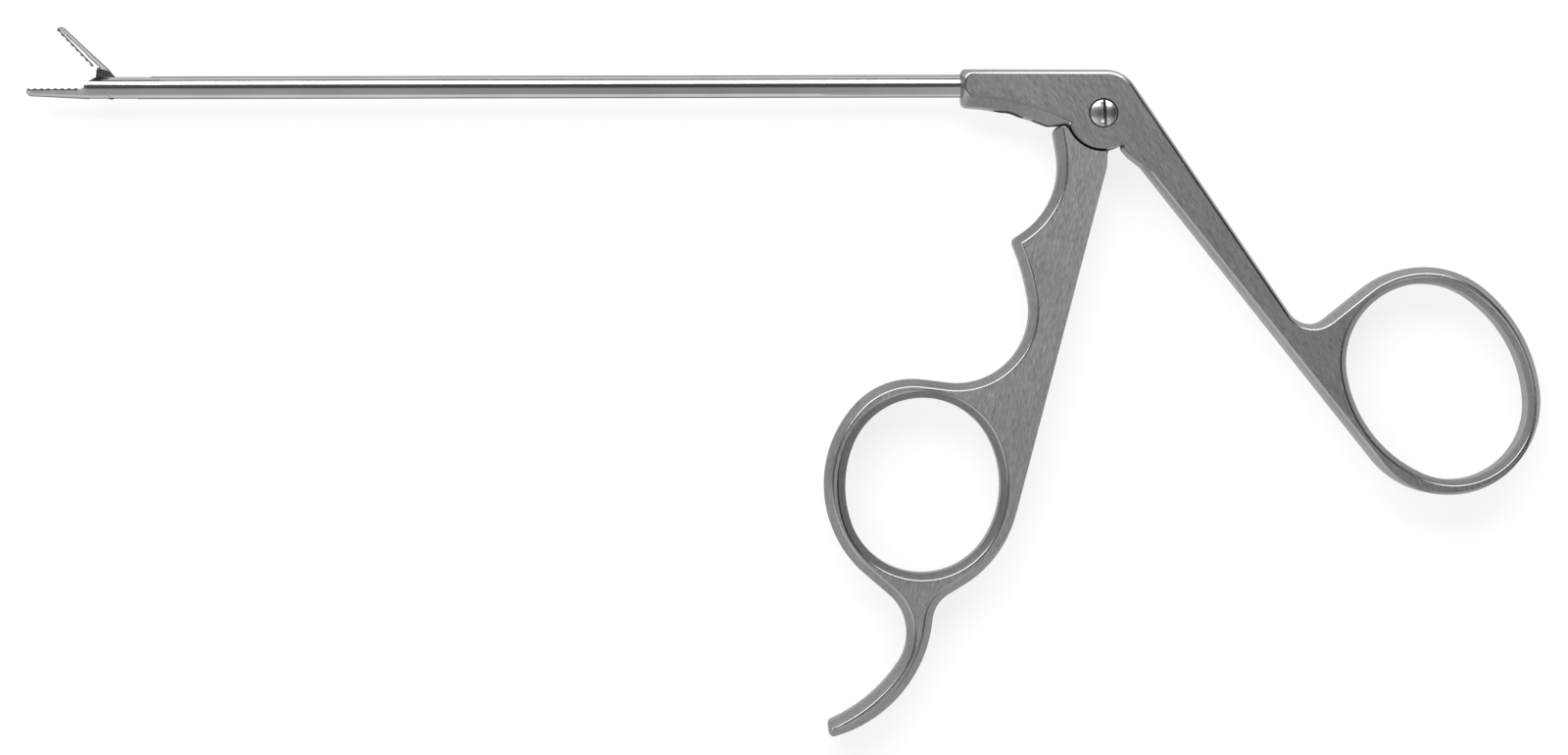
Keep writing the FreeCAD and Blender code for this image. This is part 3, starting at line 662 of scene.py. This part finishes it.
# Cuts in the rear handle: counterbore, screw bore, thread, slot of the tongue, shaft bore, set screw hole
slot_corner = cutter(post(*SLOT_CORNER, -SLOT_HALF, SLOT_HALF, SLOT_CORNER_RADIUS))
carve(slot_corner, [cutter(block((20.0, -2.75, -1.6), (SLOT_REAR, 1.6, 1.6)))], "INTERSECT")
tongue_slot = [block((SLOT_FRONT, SLOT_LOW, -SLOT_HALF), (SLOT_CORNER[0], SLOT_ROOF, SLOT_HALF)),
               block((20.0, SLOT_LOW, -SLOT_HALF), (SLOT_REAR, -1.6, SLOT_HALF))]
set_screw_hole = [upright(SET_SCREW_X, -8.0, -1.0, SET_SCREW_BORE),
                  upright(SET_SCREW_X, -4.4, -2.0, COUNTERSINK, top=SET_SCREW_BORE)]
for bm in set_screw_hole:
    for face in bm.faces:
        face.material_index = DRILLED
carve(rear, [cutter(bm) for bm in (
    post(x - 0.02, y, SEAT_OF_HEAD, 4.2, COUNTERBORE),
    post(x, y, 0.0, 3.0, SHOULDER_RADIUS + CLEARANCE),
    post(x, y, -4.2, 0.5, THREAD_RADIUS + CLEARANCE),
    *tongue_slot,
    along(-1.0, TUBE_SEAT_DEPTH, TUBE_SEAT_RADIUS + CLEARANCE),
    along(9.0, 11.0, TUBE_BORE),
    *set_screw_hole,
)] + [slot_corner])
weighted(rear)
weighted(front)


def dressed(node, body, material, smooth=30):
    """A merged copy of a CAD node whose shape is right, for even shading."""
    bm = bmesh.new()
    bm.from_mesh(nodes[node].data)
    bmesh.ops.remove_doubles(bm, verts=bm.verts[:], dist=0.000001)
    bmesh.ops.scale(bm, vec=(1 / MM, 1 / MM, 1 / MM), verts=bm.verts[:])
    return finished(node + "_dressed", bm, body, material, replaces=(node,), smooth=smooth)


weighted(dressed("moving_jaw", "jaw", moving_steel, 24))
weighted(dressed("fixed_jaw", "grip", fixed_steel, 24))


def turned_screw():
    """Domed head with a rounded rim, shoulder and thread, turned about the pivot."""
    bm = bmesh.new()
    rim, edge, rim_top, foot = 1.89, 0.1, 2.86, SEAT_OF_HEAD + CLEARANCE
    tilt = math.radians(22)
    profile = [(0, -3.15), (0.85, -3.15), (THREAD_RADIUS, -3.0), (THREAD_RADIUS, -SLOT_HALF),
               (SHOULDER_RADIUS, -SLOT_HALF), (SHOULDER_RADIUS, foot), (rim - edge, foot), (rim, foot + edge),
               (rim, rim_top)]
    here = bmesh.ops.create_vert(bm, co=(x + profile[0][0], y, profile[0][1]))["vert"][0]
    for radius, z in profile[1:]:
        here = bmesh.ops.extrude_vert_indiv(bm, verts=[here])["verts"][0]
        here.co = (x + radius, y, z)
    out = bmesh.ops.spin(bm, geom=[here], cent=(x + rim - edge, y, rim_top), axis=(0, -1, 0),
                         angle=math.pi / 2 - tilt, steps=8)
    here = [item for item in out["geom_last"] if isinstance(item, bmesh.types.BMVert)][0]
    dome = (here.co.x - x) / math.sin(tilt)
    bmesh.ops.spin(bm, geom=[here], cent=(x, y, here.co.z - dome * math.cos(tilt)), axis=(0, -1, 0),
                   angle=tilt, steps=14)
    bmesh.ops.spin(bm, geom=bm.verts[:] + bm.edges[:], cent=(x, y, 0), axis=(0, 0, 1), angle=2 * math.pi,
                   steps=TURNED_STEPS, use_merge=True)
    bmesh.ops.remove_doubles(bm, verts=bm.verts[:], dist=0.0005)
    return bm


screw = finished("pivot_screw_dressed", turned_screw(), "grip", screw_steel,
                 replaces=("pivot_screw",))
# The slot is milled with a disc, so its floor is hollow and rises to both ends. The floor of its deeper
# half has a painted shadow in its colour.
disc_radius, slot_lean = 5.2, Matrix.Rotation(math.radians(3), 4, "Z")
for aside, width, floor_z, finish in ((-0.17, 0.38, 2.87, 0), (0.19, 0.38, 2.5, 1)):
    milled = bmesh.new()
    disc = slot_lean @ Matrix.Translation((aside, 0, 0)) @ Matrix.Rotation(math.pi / 2, 4, "Y")
    bmesh.ops.create_cone(milled, cap_ends=True, segments=TURNED_STEPS, radius1=disc_radius,
                          radius2=disc_radius, depth=width,
                          matrix=Matrix.Translation((x, y, floor_z + disc_radius)) @ disc)
    for face in milled.faces:
        face.material_index = finish
    carve(screw, [cutter(milled)])
weighted(screw)
finished("shaft_tube_dressed", lathe([(TUBE_START, TUBE_BORE), (TUBE_START, TUBE_RADIUS), (0.0, TUBE_RADIUS),
                                      (0.0, TUBE_SEAT_RADIUS), (TUBE_SEAT_DEPTH, TUBE_SEAT_RADIUS),
                                      (TUBE_SEAT_DEPTH, TUBE_BORE), (TUBE_START, TUBE_BORE)]),
         "grip", tube_steel, replaces=("shaft_tube",))
dressed("jaw_pivot_pin", "grip", jaw_steel)
for name in ("jaw_drive_pin", "push_rod", "rod_yoke", "yoke_cross_pin", "yoke_lock_pin",
             "shaft_set_screw"):
    nodes[name].data.materials.clear()
    nodes[name].data.materials.append(screw_steel[0])


# Floor, lights and camera
FLOOR_GREY, FLOOR_GLOW = 0.36, 0.77
FLOOR_Z = -0.00322
SIDE, STRIP = 0.6, 0.13
LAMP_X = -0.13


def floor_material():
    """Matt table that takes the shadow and shows white to the camera, in reflections and through glass."""
    material = bpy.data.materials.new("white table")
    material.use_nodes = True
    tree = material.node_tree
    shader = tree.nodes["Principled BSDF"]
    shader.inputs["Base Color"].default_value = (FLOOR_GREY, FLOOR_GREY, FLOOR_GREY, 1)
    shader.inputs["Roughness"].default_value = 1.0
    shader.inputs["Specular IOR Level"].default_value = 0.0
    path = tree.nodes.new("ShaderNodeLightPath")
    seen = math_node(tree, "MAXIMUM", path.outputs["Is Camera Ray"], path.outputs["Is Transmission Ray"])
    seen = math_node(tree, "MAXIMUM", seen, path.outputs["Is Glossy Ray"])
    glow = tree.nodes.new("ShaderNodeEmission")
    tree.links.new(math_node(tree, "MULTIPLY", seen, FLOOR_GLOW), glow.inputs["Strength"])
    both = tree.nodes.new("ShaderNodeAddShader")
    tree.links.new(shader.outputs[0], both.inputs[0])
    tree.links.new(glow.outputs[0], both.inputs[1])
    tree.links.new(both.outputs[0], tree.nodes["Material Output"].inputs["Surface"])
    return material


bm = bmesh.new()
bmesh.ops.create_grid(bm, x_segments=1, y_segments=1, size=2.5, matrix=Matrix.Translation((0, 0, FLOOR_Z)))
floor_mesh = bpy.data.meshes.new("table")
bm.to_mesh(floor_mesh)
bm.free()
floor = bpy.data.objects.new("table", floor_mesh)
floor_mesh.materials.append(floor_material())
bpy.context.scene.collection.objects.link(floor)

world = bpy.data.worlds.new("studio")
bpy.context.scene.world = world
world.use_nodes = True


def studio_sky(tree):
    """Greys of the studio round the table: pale low down, with a dark strip overhead along the shaft that is
    lighter towards -Y, and lighter and darker parts from one end of the shaft to the other."""
    place = tree.nodes.new("ShaderNodeTexCoord")
    split = tree.nodes.new("ShaderNodeSeparateXYZ")
    tree.links.new(place.outputs["Generated"], split.inputs[0])
    angle = math_node(tree, "ARCTAN2", split.outputs["Y"], split.outputs["Z"])
    share = math_node(tree, "ADD", math_node(tree, "DIVIDE", angle, 2 * math.pi), 0.5)
    ramp = tree.nodes.new("ShaderNodeValToRGB")
    tree.links.new(share, ramp.inputs["Fac"])
    stops = [(-90, SIDE), (-16, SIDE), (-10, STRIP), (30, STRIP), (68, 0.1), (90, 0.08)]
    elements = ramp.color_ramp.elements
    for degrees, _ in stops[1:-1]:
        elements.new(degrees / 360 + 0.5)
    for element, (degrees, grey) in zip(elements, stops):
        element.position = degrees / 360 + 0.5
        element.color = (grey, grey, grey, 1)
    height = tree.nodes.new("ShaderNodeMapRange")
    height.interpolation_type = "SMOOTHSTEP"
    height.inputs["From Min"].default_value = 0.1
    height.inputs["From Max"].default_value = 0.22
    tree.links.new(split.outputs["Z"], height.inputs["Value"])
    sideways = tree.nodes.new("ShaderNodeValToRGB")
    tree.links.new(math_node(tree, "ADD", math_node(tree, "MULTIPLY", split.outputs["X"], 0.5), 0.5),
                   sideways.inputs["Fac"])
    places = [(-1.0, 0.5), (-0.45, 0.5), (-0.25, 0.25), (0.0, 0.17), (0.12, 0.41), (0.35, 0.41), (0.6, 0.12),
              (1.0, 0.1)]
    for where, _ in places[1:-1]:
        sideways.color_ramp.elements.new(where / 2 + 0.5)
    for element, (where, grey) in zip(sideways.color_ramp.elements, places):
        element.position = where / 2 + 0.5
        element.color = (grey, grey, grey, 1)
    overhead = tree.nodes.new("ShaderNodeVectorMath")
    overhead.operation = "SCALE"
    tree.links.new(ramp.outputs["Color"], overhead.inputs[0])
    tree.links.new(math_node(tree, "MULTIPLY", sideways.outputs["Color"], 4.0), overhead.inputs["Scale"])
    mix = tree.nodes.new("ShaderNodeMix")
    mix.data_type = "RGBA"
    mix.inputs["A"].default_value = (0.8, 0.8, 0.8, 1)
    tree.links.new(height.outputs["Result"], mix.inputs["Factor"])
    tree.links.new(overhead.outputs["Vector"], mix.inputs["B"])
    tree.links.new(mix.outputs["Result"], tree.nodes["Background"].inputs["Color"])


studio_sky(world.node_tree)


def softbox(name, from_zenith, distance, length, width, power):
    """A long soft light over the instrument, moved by an angle from straight above towards its upper edge."""
    data = bpy.data.lights.new(name, "AREA")
    data.shape = "RECTANGLE"
    data.size = length
    data.size_y = width
    data.energy = power
    lamp = bpy.data.objects.new(name, data)
    bpy.context.scene.collection.objects.link(lamp)
    angle = math.radians(from_zenith)
    lamp.location = (LAMP_X, distance * math.sin(angle), distance * math.cos(angle))
    lamp.rotation_euler = (-angle, 0, 0)


softbox("long softbox", from_zenith=47, distance=0.42, length=0.8, width=0.29, power=2.4)

camera_data = bpy.data.cameras.new("camera")
camera_data.lens = 85.6
camera_data.sensor_width = 36
camera = bpy.data.objects.new("camera", camera_data)
camera.location = (-0.02467, -0.04055, 0.52)
camera.rotation_euler = (0, 0, -math.atan(1.35 / 700))
bpy.context.scene.collection.objects.link(camera)
bpy.context.scene.camera = camera

bpy.context.scene.view_settings.view_transform = "Standard"
bpy.context.view_layer.update()
